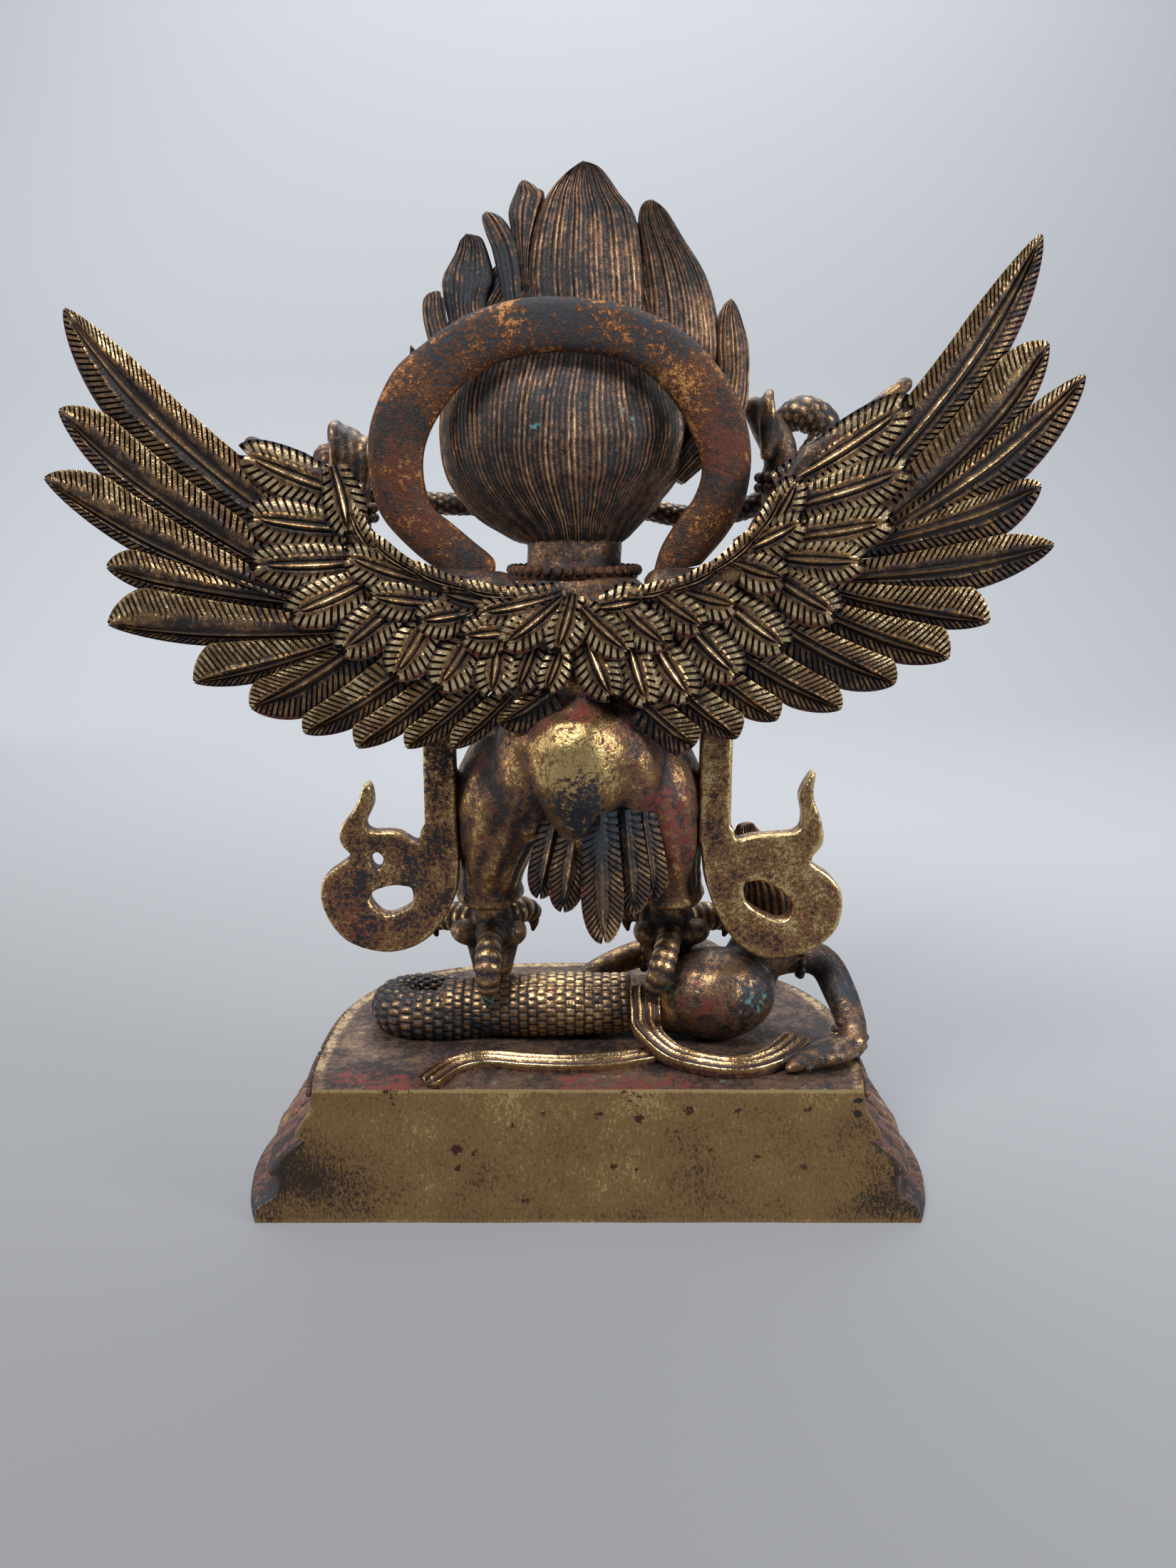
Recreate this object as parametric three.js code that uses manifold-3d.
// A winged garuda standing on a reclining naga, with its half-oval lotus plinth, in cast and gilt bronze.
// Millimetres, +Z up. The figure faces +Y and its back faces -Y, so +X is its right-hand side.
// The origin is the centre of the plinth's flat underside.

import * as THREE from 'three';
import { mergeVertices } from 'three/addons/utils/BufferGeometryUtils.js';
import Module from 'manifold-3d';

// Driving dimensions

const plinth = {
  height: 42,
  top: { width: 162, depth: 103, squareness: 3 }, // the top rim, an oval that is cut off at the back
  foot: { width: 209, depth: 119, squareness: 2 }, // and the foot, which is rounder
  ovalCentreY: -28,
  backY: -60, // the flat back cuts the ovals here
  footHeight: 4.5,
  rimHeight: 4,
  petals: 15,
};

// The plinth's side from the ground up: z, the share of the way from the rim's oval out to the foot's, and how
// far a petal's middle stands out (swell) and hangs down (droop) there, in the lower row or the upper one.
const plinthProfile = [
  { z: 0, share: 1 },
  { z: plinth.footHeight, share: 0.96 },
  { z: plinth.footHeight + 3.5, share: 0.6 },
  { z: 14.5, share: 0.52, swell: 0.1, droop: 5, row: 0 },
  { z: 16, share: 0.6, swell: 0.12, droop: 5, row: 0 },
  { z: 21, share: 0.46, swell: 0.14, droop: 1.5, row: 0 },
  { z: 25.5, share: 0.2, swell: 0.08, droop: 0, row: 0 },
  { z: 30.5, share: 0.1, swell: 0.06, droop: 4, row: 1 },
  { z: 31.5, share: 0.18, swell: 0.1, droop: 4, row: 1 },
  { z: plinth.height - plinth.rimHeight - 2, share: -0.04, swell: 0.06, droop: 0, row: 1 },
  { z: plinth.height - plinth.rimHeight, share: 0.04 },
  { z: plinth.height, share: 0 },
];

const naga = {
  trunkHalfWidth: 10.5,
  trunkHalfHeight: 9.5,
  tailRadius: 7,
  torso: [19, 15, 14.5], // half sizes of the back and hips
  head: [9, 9.5, 10.5],
  armRadius: 4.6,
  ribbonWidth: 9,
  ribbonHeight: 2.4,
};

const body = {
  centreX: -2.5,
  shinLength: 25.5, // from the naga's back up to the trouser hems
  legLength: 38.5, // from the hems to the hips
  torsoLength: 52, // from the hips to the shoulders
  neckLength: 11, // from the shoulders to the beads round the neck
  legSpread: 28, // from the body's middle to each shin
  shinRadius: 5.8,
  rump: [18, 19.5], // half sizes of the round above the tail
  toeLean: 5.5, // how far the right foot's back toe leans in
};

const head = {
  centreX: -7,
  centreY: -13,
  rise: 44, // of its middle above the shoulders
  halfSizes: [37, 27, 27],
  neckRadius: 14,
  beakLength: 20,
  eyeRadius: 5,
};

const hairHeight = 79; // above the head's middle

const wing = {
  backY: -45, // the wing's middle plane at the spine
  reach: 151, // of the left wing's outermost tip from the spine
  sweep: 10.5, // how far that tip sweeps forward
  ridge: 2.3, // height of a feather's ridge over the wing's middle plane
  edge: 0.7, // and of its edges
  layer: 2.2, // how much higher each row of coverts stands
};

const arch = {
  centreX: -7.3,
  springRise: 39, // above the shoulders
  halfWidth: 44.5,
  rise: 36,
  band: 15,
  thickness: 6,
  y: -37,
  footRise: 8,
  footSpread: 29,
};

const scarf = {
  y: -28,
  thickness: 6.5,
  bandWidth: 9.6,
  bandDrop: 8, // of the bands' upper ends below the shoulders
  curlDrop: 16, // and of the curls below the hips
};

// The hands, with z above the shoulders
const hands = [{ side: -1, at: [-72, 5, 41], lean: -1 }, { side: 1, at: [58.5, 5, 50], lean: 8 }];

const serpentRadius = 3.5;
const armRadius = 6.2;
const footClearance = 0.3; // the feet stand on the naga with this gap

// Heights from the ground, which follow from the sizes above

const nagaBack = plinth.height - 1 + 2 * naga.trunkHalfHeight;
const hemHeight = nagaBack + body.shinLength;
const hipHeight = hemHeight + body.legLength;
const shoulderHeight = hipHeight + body.torsoLength;
const neckHeight = shoulderHeight + body.neckLength;
const headHeight = shoulderHeight + head.rise;

// Outlines read outwards from the spine and upwards from the shoulders, [x, z] for each wing. Outwards they are
// stretched until the outermost tip lies at the wing's reach.

const wings = [
  {
    side: -1,
    primaryTips: [[140, 80], [145, 54], [151, 36], [134, 12], [135, -4], [111, -20],
      [95, -27], [80, -34], [65, -38], [51, -38], [38, -37], [27, -32]],
    primaryRoots: [[64, 32], [76, 21], [70, 4], [58, -7], [34, -18], [8, -18]],
    greaterTips: [[95, 44], [93, 21], [76, -7], [48, -20], [25, -23], [11, -22]],
    greaterRoots: [[64, 32], [62, 16], [54, 4], [38, -5], [20, -8], [6, -8]],
    lesserTips: [[67, 22], [62, 8], [47, -2], [30, -9], [9, -11]],
    lesserRoots: [[57, 23], [46, 11], [34, 5], [18, 2], [5, 2]],
    edge: [[20, 6], [42, 10], [56, 17], [64, 27], [70, 36], [92, 45]],
  },
  {
    side: 1,
    primaryTips: [[119, 98], [124, 72], [135, 64], [125, 35], [130, 18], [113, -3],
      [101, -13], [86, -20], [71, -27], [54, -31], [42, -35], [30, -35]],
    primaryRoots: [[54, 34], [74, 28], [64, 11], [54, -1], [34, -15], [10, -20]],
    greaterTips: [[88, 58], [86, 32], [72, 5], [48, -14], [23, -25], [7, -24]],
    greaterRoots: [[54, 36], [54, 22], [46, 10], [32, -1], [15, -9], [3, -9]],
    lesserTips: [[58, 32], [56, 10], [42, 1], [24, -9], [8, -11]],
    lesserRoots: [[46, 23], [40, 14], [28, 7], [13, 3], [2, 1]],
    edge: [[14, 6], [32, 10], [43, 17], [50, 29], [58, 40], [84, 60]],
  },
];

const outermost = Math.max(...wings.flatMap(({ primaryTips }) => primaryTips.map(([out]) => out)));

// The feathers of each row: how deep the notch between two tips is for their distance, and how far they bend

const rows = [
  { tips: 'primaryTips', roots: 'primaryRoots', count: 12, notch: 0.78, bow: 0.05, halfWidth: 5.6 },
  { tips: 'greaterTips', roots: 'greaterRoots', count: 8, notch: 0.6, bow: 0, halfWidth: 6 },
  { tips: 'lesserTips', roots: 'lesserRoots', count: 6, notch: 0.6, bow: 0, halfWidth: 5.4 },
];

// Tips of the flaming hair's locks, [x, z] from left to right seen from behind, upwards from the head's middle

const lockTips = [[-49.5, 30], [-45, 44], [-33.5, 60], [-28, 66], [-18, 74], [-2.5, hairHeight], [4.5, 77],
  [18.5, 69], [32, 52], [41, 42]];
const lockRoots = [[-38, -1], [-24, 2], [-7, 4], [12, 2], [28, -3]];
const crest = { y: -15, ridge: 8.5, edge: 5 };

// Outlines of the two scarf ends and of their holes, [outwards, down] from the middle of the band's lower end

const curls = [
  {
    side: -1,
    bandX: -43.7,
    outline: [[-4.8, -4], [-5.1, 8], [-3.3, 19.2], [4.7, 31], [16.7, 35.4], [29.5, 31.6], [36, 21.4], [35.6, 12.5],
      [29.6, 7.2], [27, 5], [29.6, 2], [30, -3], [25, -10], [22.7, -16], [20.8, -16.9], [19.7, -11], [22.4, -4.4],
      [20, -2.4], [13, -2.2], [7, 1], [4.9, -4]],
    holes: [[[9, 15], [15, 14.4], [21.2, 16.6], [21.4, 20], [17, 23.6], [9.6, 20.4]],
      [[17.2, 5.8], [19.2, 4], [21.2, 5.8], [20.6, 8.6], [18.4, 8.9]]],
  },
  {
    side: 1,
    bandX: 37.7,
    outline: [[-4.8, -4], [-3.6, 6], [-2, 15], [3.8, 28.2], [14.2, 37], [27.1, 36.1], [37, 28.6], [38.7, 18],
      [35, 11.6], [29.4, 7.6], [29.4, 5.4], [32.4, 1], [31.4, -6], [28.9, -13], [29.4, -19.9], [28, -19.9],
      [24.8, -13.7], [25.7, -7.2], [24, -2.4], [12, -1.1], [6.4, 0], [4.8, -4]],
    holes: [[[9, 13.6], [15, 13.2], [22.8, 18.5], [23.4, 23], [19.6, 25.2], [10.4, 20]]],
  },
];

const wasm = await Module();
wasm.setup();

// Vectors

const plus = (a, b) => a.map((value, i) => value + b[i]);
const minus = (a, b) => a.map((value, i) => value - b[i]);
const times = (a, factor) => a.map((value) => value * factor);
const cross = (a, b) => [a[1] * b[2] - a[2] * b[1], a[2] * b[0] - a[0] * b[2], a[0] * b[1] - a[1] * b[0]];
const unit = (a) => times(a, 1 / Math.hypot(...a));
const mix = (a, b, share) => plus(times(a, 1 - share), times(b, share));

/** A point on the smooth curve through a list of points, at a share from 0 to 1. */
function along(points, share) {
  const curve = new THREE.CatmullRomCurve3(points.map(([x, z]) => new THREE.Vector3(x, 0, z)));
  const at = curve.getPoint(share);
  return [at.x, at.z];
}

// Solids

/** A closed solid from vertices and triangles, turned the right way out. */
function solid(vertices, triangles) {
  let volume = 0;
  for (const [a, b, c] of triangles) {
    const [p, q, r] = [vertices[a], vertices[b], vertices[c]];
    const n = cross(q, r);
    volume += p[0] * n[0] + p[1] * n[1] + p[2] * n[2];
  }
  const facing = volume < 0 ? triangles.map(([a, b, c]) => [a, c, b]) : triangles;
  return new wasm.Manifold(new wasm.Mesh({
    numProp: 3,
    vertProperties: Float32Array.from(vertices.flat()),
    triVerts: Uint32Array.from(facing.flat()),
  }));
}

/** A closed solid from a three.js geometry. */
function fromGeometry(geometry) {
  geometry.deleteAttribute('normal');
  geometry.deleteAttribute('uv');
  const merged = mergeVertices(geometry, 1e-4);
  const place = merged.attributes.position;
  const vertices = Array.from({ length: place.count }, (_, i) => [place.getX(i), place.getY(i), place.getZ(i)]);
  const index = Array.from(merged.index.array);
  const triangles = [];
  for (let i = 0; i < index.length; i += 3) {
    const [a, b, c] = index.slice(i, i + 3);
    if (a !== b && b !== c && a !== c) triangles.push([a, b, c]);
  }
  return solid(vertices, triangles);
}

const join = (solids) => wasm.Manifold.union(solids);

/** The same solid with any pocket closed in between its overlapping forms filled with metal. */
const filled = (made) => join(made.decompose().filter((shell) => shell.volume() > 0));

/** Unit section of a round bar with so many sides. */
const round = (sides) => Array.from({ length: sides }, (_, i) => {
  const angle = ((i + 0.5) / sides) * 2 * Math.PI;
  return [Math.cos(angle), Math.sin(angle)];
});
const diamond = [[1, 0], [0, 1], [-1, 0], [0, -1]];
const strip = [[1, 1], [-1, 1], [-1, -1], [1, -1]];

/**
 * A section carried along stations { at, wide, deep }. wide lies across the path and up,
 * deep lies along up, and both ends close in a point that stands out by cap.
 */
function sweep(stations, section, up, cap = 0) {
  const vertices = [];
  const triangles = [];
  const count = section.length;
  const tangents = stations.map((_, i) => unit(minus(
    stations[Math.min(i + 1, stations.length - 1)].at, stations[Math.max(i - 1, 0)].at)));
  stations.forEach(({ at, wide, deep }, i) => {
    const side = unit(cross(tangents[i], up));
    const rise = cross(side, tangents[i]);
    for (const [across, high] of section) {
      vertices.push(plus(at, plus(times(side, across * wide), times(rise, high * deep))));
    }
  });
  const last = stations.length - 1;
  const firstTip = vertices.push(minus(stations[0].at, times(tangents[0], cap))) - 1;
  const lastTip = vertices.push(plus(stations[last].at, times(tangents[last], cap))) - 1;
  for (let k = 0; k < count; k += 1) {
    const next = (k + 1) % count;
    triangles.push([firstTip, next, k], [lastTip, last * count + k, last * count + next]);
    for (let i = 0; i < last; i += 1) {
      const [a, b] = [i * count + k, i * count + next];
      triangles.push([a, b, b + count], [a, b + count, a + count]);
    }
  }
  return solid(vertices, triangles);
}

/**
 * A closed slab from a flat sheet of triangles over points, with walls along the sheet's free edges.
 * above and below give each point its place on the two faces.
 */
function slab(points, triangles, above, below) {
  const count = points.length;
  const edges = triangles.flatMap(([a, b, c]) => [[a, b], [b, c], [c, a]]);
  const used = new Set(edges.map(([a, b]) => `${a} ${b}`));
  const free = edges.filter(([a, b]) => !used.has(`${b} ${a}`));
  return solid([...points.map(above), ...points.map(below)], [
    ...triangles,
    ...triangles.map(([a, b, c]) => [a + count, c + count, b + count]),
    ...free.flatMap(([a, b]) => [[b, a, a + count], [b, a + count, b + count]]),
  ]);
}

/**
 * A fan of leaves side by side, each with a ridge down its middle, a valley between neighbours and a pointed end
 * past the notch between their tips. tips and roots are flat points, and bow bends the leaves by a share of their
 * length; straight leaves have no point halfway. The points that come back are { at, high }, with high 1 on a
 * ridge and 0 at an edge.
 */
function fan({ tips, roots, notch, bow, halfWidth }) {
  const points = [];
  const triangles = [];
  const put = (at, high) => points.push({ at, high }) - 1;
  const middles = tips.map((tip, i) => {
    const [along2, up2] = minus(tip, roots[i]);
    return plus(mix(roots[i], tip, 0.5), times([Math.sign(along2) * up2, -Math.abs(along2)], bow));
  });
  const border = (j) => {
    if (j > 0 && j < tips.length) {
      const middle = mix(middles[j - 1], middles[j], 0.5);
      const between = mix(tips[j - 1], tips[j], 0.5);
      const depth = notch * Math.hypot(...minus(tips[j - 1], tips[j]));
      const end = plus(between, times(unit(minus(middle, between)), depth));
      return [mix(roots[j - 1], roots[j], 0.5), middle, end];
    }
    const i = j === 0 ? 0 : j - 1;
    const [dx, dz] = unit(minus(tips[i], roots[i]));
    const inner = minus(middles[i], middles[j === 0 ? 1 : i - 1]);
    const away = times([-dz, dx], Math.sign(-dz * inner[0] + dx * inner[1]) * halfWidth);
    return [plus(roots[i], times(away, 0.7)), plus(middles[i], away),
      plus(mix(middles[i], tips[i], 0.62), times(away, 0.8))];
  };
  const borders = Array.from({ length: tips.length + 1 }, (_, j) => border(j));
  const kept = (line) => (bow ? line : [line[0], ...line.slice(2)]);
  const valleys = borders.map((line) => kept(line).map((at) => put(at, 0)));
  tips.forEach((tip, i) => {
    const level = mix(borders[i][2], borders[i + 1][2], 0.5);
    const shoulder = mix(level, tip, 0.5);
    const end = put(tip, 0);
    const ridge = [...kept([[roots[i], 1], [middles[i], 1], [level, 0.9]]).map((point) => put(...point)),
      put(shoulder, 0.6), end];
    for (const [j, turned] of [[i, false], [i + 1, true]]) {
      const side = put(plus(shoulder, times(minus(borders[j][2], level), 0.7)), 0);
      const line = [...valleys[j], side, end];
      for (let k = 0; k + 1 < line.length; k += 1) {
        const quad = [line[k], ridge[k], ridge[k + 1], line[k + 1]];
        const [a, b, c, d] = turned ? [quad[0], quad[3], quad[2], quad[1]] : quad;
        triangles.push([a, b, c]);
        if (k + 2 < line.length) triangles.push([a, c, d]);
        else if (turned) triangles[triangles.length - 1] = [a, c, d];
      }
    }
  });
  return { points, triangles };
}

/** A bar along points [x, y, z, wide, deep], deep being left out where the bar is round. */
function bar(points, { sides = 8, up = [0, 1, 0], cap = 0 } = {}) {
  const stations = points.map(([x, y, z, wide, deep]) => ({ at: [x, y, z], wide, deep: deep ?? wide }));
  return sweep(stations, round(sides), up, cap);
}

/** An ellipsoid. */
function ball(centre, halfSizes, around = 12, high = 8) {
  const geometry = new THREE.SphereGeometry(1, around, high);
  geometry.rotateX(Math.PI / 2);
  geometry.scale(...halfSizes);
  geometry.translate(...centre);
  return fromGeometry(geometry);
}

/** A leaf-shaped blade from root to tip, with a ridge on both faces. */
function blade(root, tip, halfWidth, thickness) {
  const stations = [[0, 0.6], [0.48, 1], [0.86, 0.66]].map(([share, width]) => ({
    at: mix(root, tip, share),
    wide: halfWidth * width,
    deep: (thickness / 2) * (1 - 0.35 * share),
  }));
  const cap = Math.hypot(...minus(tip, stations[stations.length - 1].at));
  return sweep(stations, diamond, [0, 1, 0], cap);
}

// Plinth

/** The oval that lies a share of the way from the rim's oval to the foot's. */
function plinthOval(share) {
  const { top, foot, ovalCentreY, backY } = plinth;
  const between = (key) => top[key] + (foot[key] - top[key]) * share;
  return {
    halfWidth: between('width') / 2,
    halfDepth: between('depth') - (ovalCentreY - backY),
    squareness: between('squareness'),
  };
}

/** A point on an oval, with angle 0 at +X and a quarter turn at the front. */
function onOval({ halfWidth, halfDepth, squareness }, angle, z) {
  const bulge = (value) => Math.sign(value) * Math.abs(value) ** (2 / squareness);
  return [halfWidth * bulge(Math.cos(angle)), plinth.ovalCentreY + halfDepth * bulge(Math.sin(angle)), z];
}

/** The angle at which an oval meets the flat back. */
function backAngle({ halfDepth, squareness }) {
  return -Math.asin(((plinth.ovalCentreY - plinth.backY) / halfDepth) ** (squareness / 2));
}

/** Points evenly round the plinth's front from corner to corner, a share of the way out to the foot. */
function plinthRing(share, z, steps) {
  const oval = plinthOval(share);
  const corner = backAngle(oval);
  const coarse = Array.from({ length: 49 }, (_, i) => (
    new THREE.Vector3(...onOval(oval, corner + (Math.PI - 2 * corner) * (i / 48), z))));
  return new THREE.CatmullRomCurve3(coarse).getSpacedPoints(steps).map((at) => at.toArray());
}

/** The plinth's body: rings stacked up its moulded profile, swelling into two rows of hanging lotus petals. */
function plinthBody() {
  const crown = [0, 0.8, 1, 0.8]; // across one petal, from the valley before it
  const steps = crown.length * plinth.petals;
  const rings = plinthProfile.map(({ z, share, swell = 0, droop = 0, row = 0 }) => {
    const levels = crown.map((high) => plinthRing(share + swell * high, z - droop * high * high, steps));
    return levels[0].map((_, k) => levels[(k + (row * crown.length) / 2) % crown.length][k]);
  });
  const count = rings[0].length;
  const vertices = rings.flat();
  const triangles = [];
  const bottom = vertices.push([0, plinth.ovalCentreY, 0]) - 1;
  const top = vertices.push([0, plinth.ovalCentreY, plinth.height]) - 1;
  for (let k = 0; k < count; k += 1) {
    const next = (k + 1) % count;
    triangles.push([bottom, next, k], [top, (rings.length - 1) * count + k, (rings.length - 1) * count + next]);
    for (let i = 0; i + 1 < rings.length; i += 1) {
      const [a, b] = [i * count + k, i * count + next];
      triangles.push([a, b, b + count], [a, b + count, a + count]);
    }
  }
  return solid(vertices, triangles);
}

// Naga, which lies along the plinth with its tail at the left seen from behind

const lieY = -18;
const trunkZ = nagaBack - naga.trunkHalfHeight;

/** The scaled trunk, grown by extra on all sides. */
function nagaTrunk(extra = 0) {
  const { trunkHalfWidth: wide, trunkHalfHeight: high } = naga;
  const points = [[-42, 0.82, 0], [-28, 0.94, 0], [-12, 1, 0.4], [4, 0.96, 0.6], [20, 0.9, 1.5]];
  return bar(points.map(([x, size, rise]) => (
    [x, lieY, trunkZ + rise, wide * size + extra, high * size + extra])), { sides: 10, up: [0, 0, 1], cap: 3 });
}

/** The tail, which runs on from the trunk, turns back on itself at the left and ends on the trunk's far side. */
function nagaTail() {
  const r = naga.tailRadius;
  const z = plinth.height + r - 1;
  const route = [[-36, -18, 1.1], [-47, -20, 1.05], [-56, -19.5, 1], [-61.5, -15, 0.97], [-62, -8, 0.93],
    [-56.5, -3, 0.9], [-48, -2.5, 0.85], [-40, -5, 0.75], [-33, -8, 0.5]];
  return bar(route.map(([x, y, size]) => [x, y, z, r * size]), { sides: 6, up: [0, 0, 1], cap: 2 });
}

/** The human back and hips, grown by extra. */
const nagaTorso = (extra = 0) => ball([40, -20, plinth.height + naga.torso[2] - 1],
  naga.torso.map((size) => size + extra), 12, 7);

/** The raised head with its topknot, and the neck below it. */
function nagaHead() {
  const [x, y, z] = [57, -9, plinth.height + 41];
  return [
    ball([x, y, z], naga.head, 10, 6),
    bar([[50, -14, z - 22, 9], [54, -11, z - 10, 6], [57, -9, z - 2, 5.5]], { sides: 6, cap: 0 }),
    bar([[54, -10, z + 6, 6.2], [51.5, -10, z + 14, 4.2], [50, -10, z + 20, 4.6], [49.5, -10, z + 23, 2.4]],
      { sides: 6, cap: 1 }),
    ball([x + 4, y + 7, z - 1], [2, 3.4, 2.2], 6, 4),
  ];
}

/** Both arms, grown by extra: one bent out to the right with its hand on the plinth, one along the far side. */
function nagaArms(extra = 0) {
  const r = naga.armRadius + extra;
  const top = plinth.height;
  return [
    bar([[50, -16, top + 20, 1.3 * r], [63, -15, top + 24, 1.25 * r], [74, -15, top + 22, 1.2 * r],
      [79, -21, top + 14, 1.2 * r], [81, -30, top + 7, 1.05 * r], [80, -37, top + 4, r]], { sides: 6, cap: 2 }),
    bar([[78, -37, top + 3, 5, 3.4], [72, -43, top + 3, 6.4, 3.6], [64, -47, top + 2, 3, 2.6]],
      { sides: 6, up: [0, 0, 1], cap: 2 }),
    bar([[46, -6, top + 14, 1.2 * r], [39, 10, top + 16, 1.1 * r], [27, 20, top + 16, r],
      [13, 17, top + 12, 0.85 * r], [2, 10, top + 9, 0.8 * r], [-6, 5, top + 5, 0.5 * r]], { sides: 6, cap: 2 }),
  ];
}

/** The naga's scarf in low relief: along the plinth's back edge and round the torso. */
function nagaRibbons() {
  const z = plinth.height + 0.2;
  const { ribbonWidth: width, ribbonHeight: high } = naga;
  const ribbon = (points, size = 1) => bar(points.map(([x, y, rise = 0]) => (
    [x, y, z + rise, (width / 2) * size, high])), { sides: 6, up: [0, 0, 1], cap: 1 });
  return [
    ribbon([[-46, -56], [-40, -45.5], [-31, -41], [-18, -43], [-5, -44], [8, -42], [19, -38]], 0.8),
    ribbon([[18, -32, 7], [20, -35, 3], [25, -39.5, 1], [34, -46, 0.5], [45, -48, 0.5], [56, -42, 1], [64, -33, 3]]),
  ];
}

/** The plinth with the naga, cast as one. */
const plinthWithNaga = () => filled(join([plinthBody(), nagaTrunk(), nagaTail(), nagaTorso(), ...nagaHead(),
  ...nagaArms(), ...nagaRibbons()]));

// Garuda

const fromMiddle = (side, x) => body.centreX + side * x;

/** Torso, belly, rump and neck. */
function torso() {
  const x = body.centreX;
  const [hip, shoulder, neck] = [hipHeight, shoulderHeight, neckHeight];
  const trunk = bar([[x, -15, hip - 16, 19, 15], [x, -17, hip - 4, 30, 21], [x, -17, hip + 8, 30, 22],
    [x, -19, hip + 24, 25, 20], [x, -22, hip + 40, 29, 19], [x, -24, shoulder, 30, 17],
    [x, -23, neck - 4, 22, 15]], { sides: 8, cap: 2 });
  const [wide, deep] = body.rump;
  const rump = bar([[x, -33, hip - 8, 0.5 * wide, 0.6 * deep], [x, -34.5, hip - 1, 0.76 * wide, 0.86 * deep],
    [x, -35, hip + 6, 0.94 * wide, 0.97 * deep], [x, -34.5, hip + 13, wide, deep],
    [x, -34, hip + 20, 0.88 * wide, 0.92 * deep], [x, -34, hip + 26, 0.6 * wide, 0.7 * deep],
    [x, -35, hip + 31, 0.28 * wide, 0.4 * deep]], { sides: 10, cap: 2 });
  const neckX = head.centreX + 3;
  const neckBar = bar([[neckX, -20, neck - 8, 1.3 * head.neckRadius], [neckX, -18, neck + 4, head.neckRadius],
    [neckX, -16, neck + 14, head.neckRadius]], { sides: 8, cap: 0 });
  const beads = 8;
  const necklace = bar(Array.from({ length: beads }, (_, i) => {
    const angle = (i / (beads - 1)) * 2 * Math.PI * 0.96 + Math.PI / 2;
    return [neckX + 19.5 * Math.cos(angle), -19 + 19 * Math.sin(angle), neck - 1 - 2 * Math.sin(angle), 2.1];
  }), { sides: 4, up: [0, 0, 1], cap: 0.5 });
  const belly = ball([x, 0, hip + 15], [21, 17, 17], 8, 5);
  const pectorals = [-1, 1].map((side) => ball([x + side * 12, -4, shoulder - 9], [13, 9, 11], 6, 4));
  return [trunk, rump, neckBar, necklace, belly, ...pectorals];
}

/**
 * One leg: feathered trouser leg, shin and broad clawed foot, with one ringed toe behind and three before.
 * lean is how far the back toe leans towards the other foot.
 */
function leg(side, lean) {
  const x = (out) => fromMiddle(side, out);
  const { legSpread: spread, shinRadius: shin } = body;
  const [hem, hip] = [hemHeight, hipHeight];
  const thigh = bar([[x(15), -17, hip + 8, 16, 20], [x(22), -18, hip - 4, 16, 21], [x(25), -18.5, hip - 15, 13, 18.5],
    [x(spread - 1), -17.5, hip - 27, 9.6, 14.5], [x(spread), -17, hem + 4, 9.2, 12.5],
    [x(spread), -16.5, hem, 9.8, 12.3]], { sides: 8, cap: 0 });
  const foot = bar([[x(spread), -14, hem + 4, shin], [x(spread), -13, hem - 4, 1.05 * shin, 1.1 * shin],
    [x(spread), -11, hem - 9, 10.5, 8.5], [x(spread), -10, hem - 15, 11, 9], [x(spread), -11, hem - 23, 7, 9]],
  { sides: 7, cap: 0 });
  const toe = (points) => bar(points.map(([out, y, z, r]) => [x(spread + out), y, hem + z, r]), { sides: 5, cap: 1.5 });
  const toes = [
    toe([[0, -17, -6, 3.6], [-0.2 * lean, -26, -9, 3.9], [-0.6 * lean, -31, -16, 3.9], [-lean, -30.5, -24, 3.2],
      [-1.2 * lean, -29.5, -30, 1.8]]),
    toe([[5, -10, -9, 5], [13, -6, -9.5, 4], [18, -3, -11, 3.4], [19, -2, -15, 1.6]]),
    toe([[-4, -10, -8, 5], [-9, -5, -7.5, 3.8], [-12, -2, -9, 3.2], [-12.5, -1, -13.5, 1.5]]),
    toe([[0, -8, -10, 4.6], [0, 3, -11, 4.2], [0, 8, -17, 3.6], [0, 8.5, -25, 2.6], [0, 6.5, -31, 1.4]]),
  ];
  return [thigh, foot, ...toes];
}

/** The tail: five feathers that hang below the rump. */
function tail() {
  const top = hipHeight - 4;
  const x = body.centreX + 6;
  return [[0, 0, 42, 7.4, -46], [-6, -11, 32, 6.4, -43], [7, 10, 33, 6.4, -43], [-12, -18, 28, 5.4, -40],
    [13, 16, 28, 5.4, -40]].map(([at, end, drop, halfWidth, y]) => (
    blade([x + at, y + 4, top], [x + end, y, top - drop], halfWidth, 6)));
}

/** The y of a wing's middle plane, so far out from the spine. */
const wingY = (out) => wing.backY + wing.sweep * (out / wing.reach) ** 2;

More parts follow.
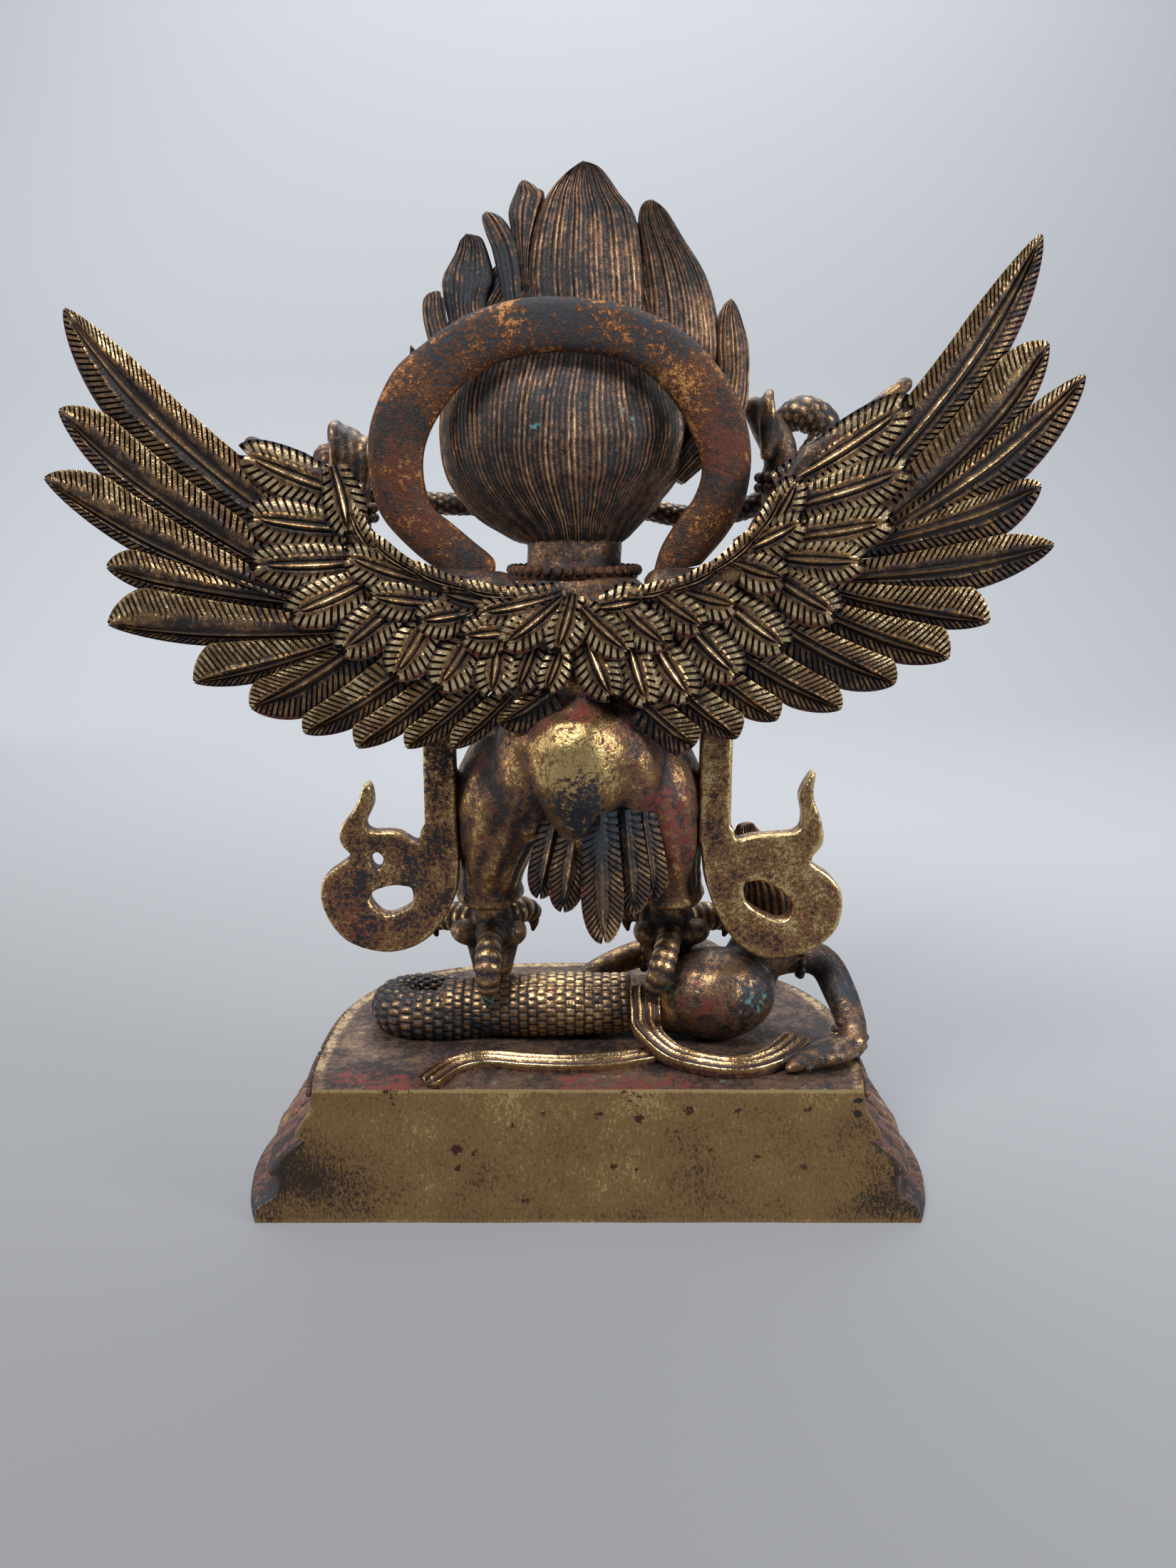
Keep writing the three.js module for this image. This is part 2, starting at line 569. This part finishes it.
/** One wing: the arm along its upper edge, then the primaries with two rows of coverts over them. */
function wingSolids(shape) {
  const { edge, side } = shape;
  const place = ([drawn, up], high) => {
    const out = (drawn * wing.reach) / outermost;
    return [side * out, wingY(out) - high, shoulderHeight + up];
  };
  const spread = (points, count) => (
    points.length === count ? points : Array.from({ length: count }, (_, i) => along(points, i / (count - 1))));
  const layers = rows.map(({ tips, roots, count, ...form }, layer) => {
    const { points, triangles } = fan({ ...form, tips: spread(shape[tips], count), roots: spread(shape[roots], count) });
    const rise = (high) => layer * wing.layer + wing.edge + (wing.ridge - wing.edge) * high;
    return slab(points, triangles, ({ at, high }) => place(at, rise(high)),
      ({ at, high }) => place(at, layer ? 0 : -rise(high)));
  });
  const arm = bar(Array.from({ length: 6 }, (_, i) => {
    const [x, y, z] = place(along(edge, i / 5), 0);
    return [x, y, z - 2.4, 4.4 - 0.48 * i, 5.4 - 0.52 * i];
  }), { sides: 6, cap: 2 });
  const shoulder = bar([[0, 7, -8, 14, 7], [18, 4, -6, 12, 6], [42, 2, 0, 9, 4], [60, 2, 10, 6, 3]]
    .map(([out, before, up, wide, deep]) => (
      [fromMiddle(side, out), wing.backY + before, shoulderHeight + up, wide, deep])), { sides: 6, cap: 2 });
  return [arm, shoulder, ...layers];
}

/** The hair: a crest of locks that stand up like flames. */
function hair() {
  const roots = lockTips.map((_, i) => along(lockRoots, i / (lockTips.length - 1)));
  const { points, triangles } = fan({ tips: lockTips, roots, notch: 0.55, bow: 0, halfWidth: 5 });
  const { halfSizes, centreY } = head;
  const place = ({ at: [x, z], high }, face) => {
    const rise = z / hairHeight; // 0 at the skull's middle, 1 at the top
    const depth = (crest.edge + (crest.ridge - crest.edge) * high) * (1 - 0.5 * rise) + 0.25 * halfSizes[1] * (1 - rise);
    return [x, centreY + (crest.y - centreY) * rise - face * depth, headHeight + z];
  };
  return slab(points, triangles, (point) => place(point, 1), (point) => place(point, -1));
}

/** The head: skull, hair, brows, eyes, ears and beak. */
function headSolids() {
  const { centreX: x, centreY: y, halfSizes, eyeRadius, beakLength } = head;
  const z = headHeight;
  const [wide, deep, high] = halfSizes;
  const skull = bar([[x + 3, y - 3, z - 25, 0.39 * wide, 0.5 * deep], [x + 2, y - 2, z - 19, 0.61 * wide, 0.7 * deep],
    [x, y, z - 10, 0.89 * wide, 0.93 * deep], [x, y, z, wide, deep], [x, y, z + 12, 0.96 * wide, 0.95 * deep],
    [x + 1, y, z + 24, 0.84 * wide, 0.74 * deep], [x + 2, y, z + high + 8, 0.62 * wide, 0.5 * deep]],
  { sides: 10, cap: 4 });
  const face = ball([x, y + 12, z - 4], [0.72 * wide, 0.8 * deep, 0.9 * high], 10, 6);
  const features = [-1, 1].flatMap((side) => [
    ball([x + side * 11, y + 31, z + 2], [eyeRadius, eyeRadius, eyeRadius], 6, 4),
    bar([[x + side * 3, y + 31, z + 6, 2], [x + side * 11, y + 28, z + 10, 3], [x + side * 20, y + 21, z + 13, 1.8]],
      { sides: 6, cap: 1 }),
    bar([[x + side * 26, y + 10, z - 6, 4, 3], [x + side * 31, y + 9, z, 6, 3], [x + side * 33, y + 7, z + 8, 3, 2]],
      { sides: 6, cap: 2 }),
  ]);
  const beak = [
    bar([[x, y + 26, z - 2, 8, 8], [x, y + 26 + 0.6 * beakLength, z - 4, 5.5, 5],
      [x, y + 26 + beakLength, z - 10, 2.4, 3], [x, y + 25 + beakLength, z - 15, 0.8, 0.8]],
    { sides: 6, up: [0, 0, 1], cap: 0.5 }),
    bar([[x, y + 24, z - 20, 7, 5], [x, y + 24 + 0.5 * beakLength, z - 20, 4, 3],
      [x, y + 24 + 0.75 * beakLength, z - 18, 1.4, 1.4]], { sides: 6, up: [0, 0, 1], cap: 0.5 }),
  ];
  return [skull, hair(), face, ...features, ...beak];
}

/** Both arms, the hands, and the serpent stretched from hand to hand through the beak. */
function armsAndSerpent() {
  const r = armRadius;
  const shoulder = shoulderHeight;
  const placed = hands.map((hand) => ({ ...hand, at: plus(hand.at, [0, 0, shoulder]) }));
  const arms = placed.flatMap(({ side, at: [x, y, z], lean }) => {
    const out = (share) => fromMiddle(side, 22) + (x - fromMiddle(side, 22)) * share;
    return [
      bar([[out(0), -22, shoulder - 4, 1.5 * r], [out(0.45), -17, shoulder - 6, 1.25 * r],
        [out(0.9), -10, shoulder, 1.05 * r], [out(1), -3, z - 26, r], [x, y, z - 10, 0.9 * r]], { sides: 6, cap: 2 }),
      bar([[x, y - 1, z - 12, 5, 5.4], [x, y, z - 4, 6.4, 7], [x - side * 0.4 * lean, y, z + 4, 6.4, 6],
        [x - side * lean, y - 1, z + 10, 4.6, 4.4]], { sides: 6, cap: 1 }),
    ];
  });
  const [left, right] = placed.map((hand) => hand.at);
  const bite = [head.centreX, 24, headHeight - 14];
  const near = (place, dx, dy, dz, size = 1) => [...plus(place, [dx, dy, dz]), serpentRadius * size];
  const route = [near(left, -2, 9, 2, 0.7), near(left, -9, 8, 3, 1.3), near(left, -8, 6, -3, 1.2), near(left, 3, 8, -9),
    near(bite, -38, -4, 0), near(bite, -16, 0, 0), near(bite, 16, 0, 0), near(bite, 40, -4, -4), near(right, -5, 8, -20),
    near(right, 8, 6, -8), near(right, 15, 5, 2, 1.4), near(right, 8, 6, 7, 1.6), near(right, 1, 9, 4)];
  return [...arms, bar(route, { sides: 5, up: [0.1, 1, 0.1], cap: 2 })];
}

/** The scarf's arch behind the head, from shoulder to shoulder. */
function scarfArch() {
  const { centreX, springRise, halfWidth, rise, band, thickness, y, footRise, footSpread } = arch;
  const past = 22; // degrees that the round part runs on below its springing
  const steps = 18;
  const round2 = Array.from({ length: steps + 1 }, (_, i) => {
    const angle = THREE.MathUtils.degToRad(180 + past - (180 + 2 * past) * (i / steps));
    return [centreX + halfWidth * Math.cos(angle), shoulderHeight + springRise + rise * Math.sin(angle)];
  });
  const foot = (side) => [centreX + 4 + side * footSpread, shoulderHeight + footRise];
  const points = [foot(-1), ...round2, foot(1)];
  return sweep(points.map(([x, z]) => ({ at: [x, y, z], wide: band / 2, deep: thickness / 2 })), strip, [0, 1, 0], 0);
}

/** A scarf end: a flat band that comes down beside the hip and ends in a pierced curl. */
function scarfEnd({ side, bandX, outline, holes }) {
  const { y, thickness, bandWidth, bandDrop, curlDrop } = scarf;
  const [bandTop, curlTop] = [shoulderHeight - bandDrop, hipHeight - curlDrop];
  const toShape = ([out, down]) => new THREE.Vector2(side * out, -down);
  const smooth = new THREE.CatmullRomCurve3(outline.map(([out, down]) => new THREE.Vector3(side * out, 0, -down)));
  const points = smooth.getPoints(Math.round(1.5 * outline.length)).map(({ x, z }) => new THREE.Vector2(x, z));
  const shape = new THREE.Shape(points);
  shape.holes = holes.map((hole) => new THREE.Path(hole.map(toShape)));
  const geometry = new THREE.ExtrudeGeometry(shape, { depth: thickness, bevelEnabled: false });
  geometry.rotateX(Math.PI / 2);
  geometry.translate(bandX, y + thickness / 2, curlTop);
  const band = sweep([[bandX + side * 2, -12, bandTop + 4], [bandX + side, -21, bandTop - 10], [bandX, y, bandTop - 30],
    [bandX, y, curlTop]].map((at) => ({ at, wide: bandWidth / 2, deep: thickness / 2 })), strip, [0, 1, 0], 0);
  const tie = ball([bandX - side * 5, y + 2, curlTop + 12], [4, 3, 8], 6, 4); // where the band is cast onto the hip
  return [fromGeometry(geometry), band, tie];
}

/** The whole figure, cast as one, with its feet cut to stand on the naga. */
function garuda() {
  const figure = join([...torso(), ...leg(-1, 0), ...leg(1, body.toeLean), ...tail(), ...wings.flatMap(wingSolids),
    ...headSolids(), ...armsAndSerpent(), scarfArch(), ...curls.flatMap(scarfEnd)]);
  return filled(figure).subtract(join([nagaTrunk(footClearance), nagaTorso(footClearance),
    ...nagaArms(footClearance)]));
}

/** A named mesh of a finished solid. */
function mesh(name, made, material) {
  const { vertProperties, triVerts } = made.getMesh();
  const geometry = new THREE.BufferGeometry();
  geometry.setAttribute('position', new THREE.BufferAttribute(Float32Array.from(vertProperties), 3));
  geometry.setIndex(new THREE.BufferAttribute(Uint32Array.from(triVerts), 1));
  geometry.computeVertexNormals();
  const built = new THREE.Mesh(geometry, material);
  built.name = name;
  return built;
}

const gilt = new THREE.MeshStandardMaterial({ color: 0x8a6a35, roughness: 0.42, metalness: 0.9 });
const bronze = new THREE.MeshStandardMaterial({ color: 0x7d6136, roughness: 0.5, metalness: 0.85 });

const group = new THREE.Group();
group.add(mesh('garuda', garuda(), gilt), mesh('lotus_plinth_with_naga', plinthWithNaga(), bronze));

export default group;
